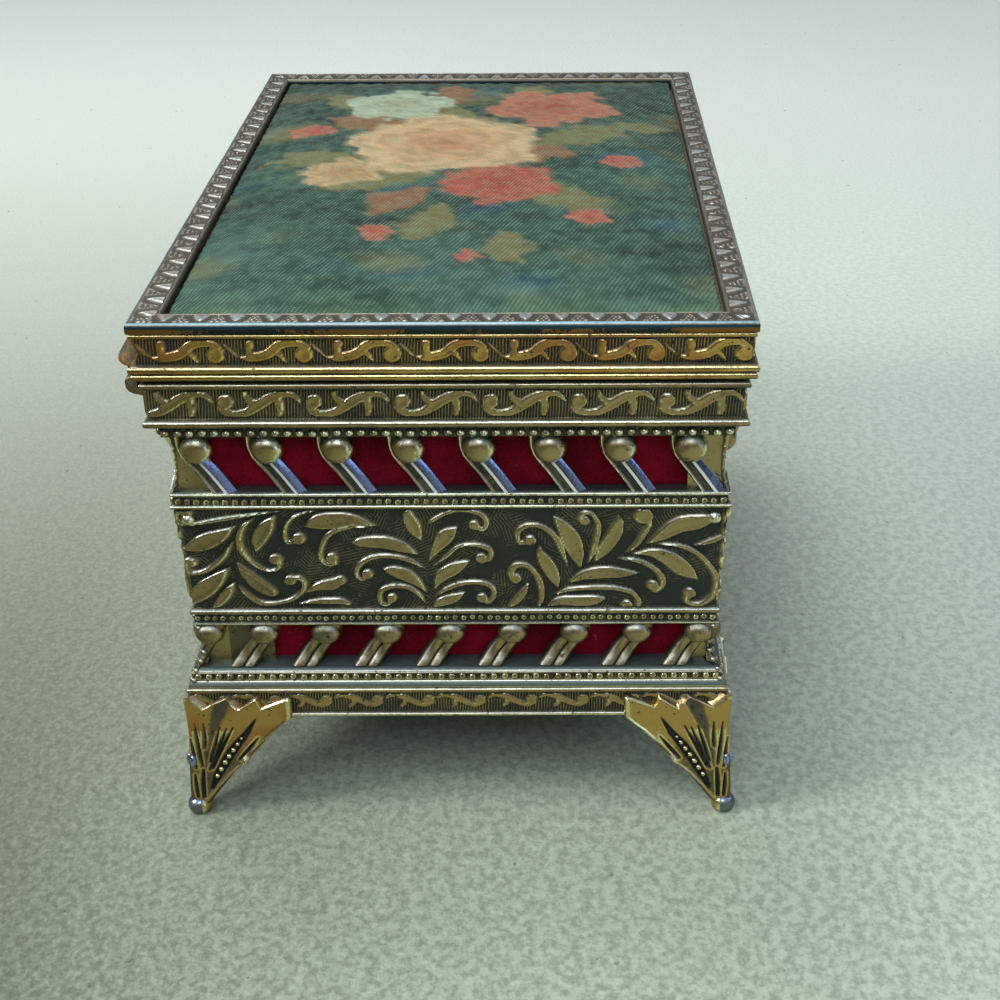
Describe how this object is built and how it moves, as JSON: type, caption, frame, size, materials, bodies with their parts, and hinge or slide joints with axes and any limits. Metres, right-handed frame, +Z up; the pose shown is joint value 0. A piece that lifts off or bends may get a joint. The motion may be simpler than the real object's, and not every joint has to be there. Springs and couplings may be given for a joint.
{
  "type": "footed trinket box",
  "caption": "Rectangular cast-metal trinket box on bracket feet, with a hinged padded lid and walls pierced by galleries of balls and slanted bars over a velvet lining.",
  "frame": {"origin": "bottom centre of the box, on the surface it stands on, midway between the feet", "axes": "+X along the long sides towards the right end, +Y from the front, where the lid opens, to the rear, where it is hinged, +Z up"},
  "size_m": [0.1266, 0.0864, 0.0837],
  "materials": {
    "gilt_casting": "antique gilt, worn bright on the high points and dark in the recesses",
    "hinge_metal": "tarnished",
    "steel_pin": "drawn wire",
    "base_plate": "lacquered sheet",
    "satin": "ribbed satin with a painterly flower print",
    "velvet": "crimson velvet",
    "card": "grey-brown strawboard"
  },
  "bodies": {
    "case": {"rim_frame": "gilt_casting", "front_wall": "gilt_casting", "rear_wall": "gilt_casting", "left_end_wall": "gilt_casting", "right_end_wall": "gilt_casting", "base_frame": "gilt_casting", "foot_front_left": "gilt_casting", "foot_front_right": "gilt_casting", "foot_rear_left": "gilt_casting", "foot_rear_right": "gilt_casting", "bottom_plate": "base_plate", "bottom_tabs": "hinge_metal", "floor_board": "card", "floor_pad": "velvet", "front_lining": "velvet", "rear_lining": "velvet", "left_lining": "velvet", "right_lining": "velvet", "case_hinge_leaf_left": "hinge_metal", "case_hinge_leaf_right": "hinge_metal", "hinge_pin_left": "steel_pin", "hinge_pin_right": "steel_pin"},
    "lid": {"lid_frame": "gilt_casting", "lid_picture_pad": "satin", "lid_board": "card", "lid_lining_pad": "velvet", "lid_hinge_ear_left": "hinge_metal", "lid_hinge_ear_right": "hinge_metal"}
  },
  "joints": [
    {"name": "lid_hinge", "type": "hinge", "parent": "case", "child": "lid", "pos_m": [0, 0.04255, 0.07359], "axis": [-1, 0, 0], "range_deg": [0, 95]}
  ]
}
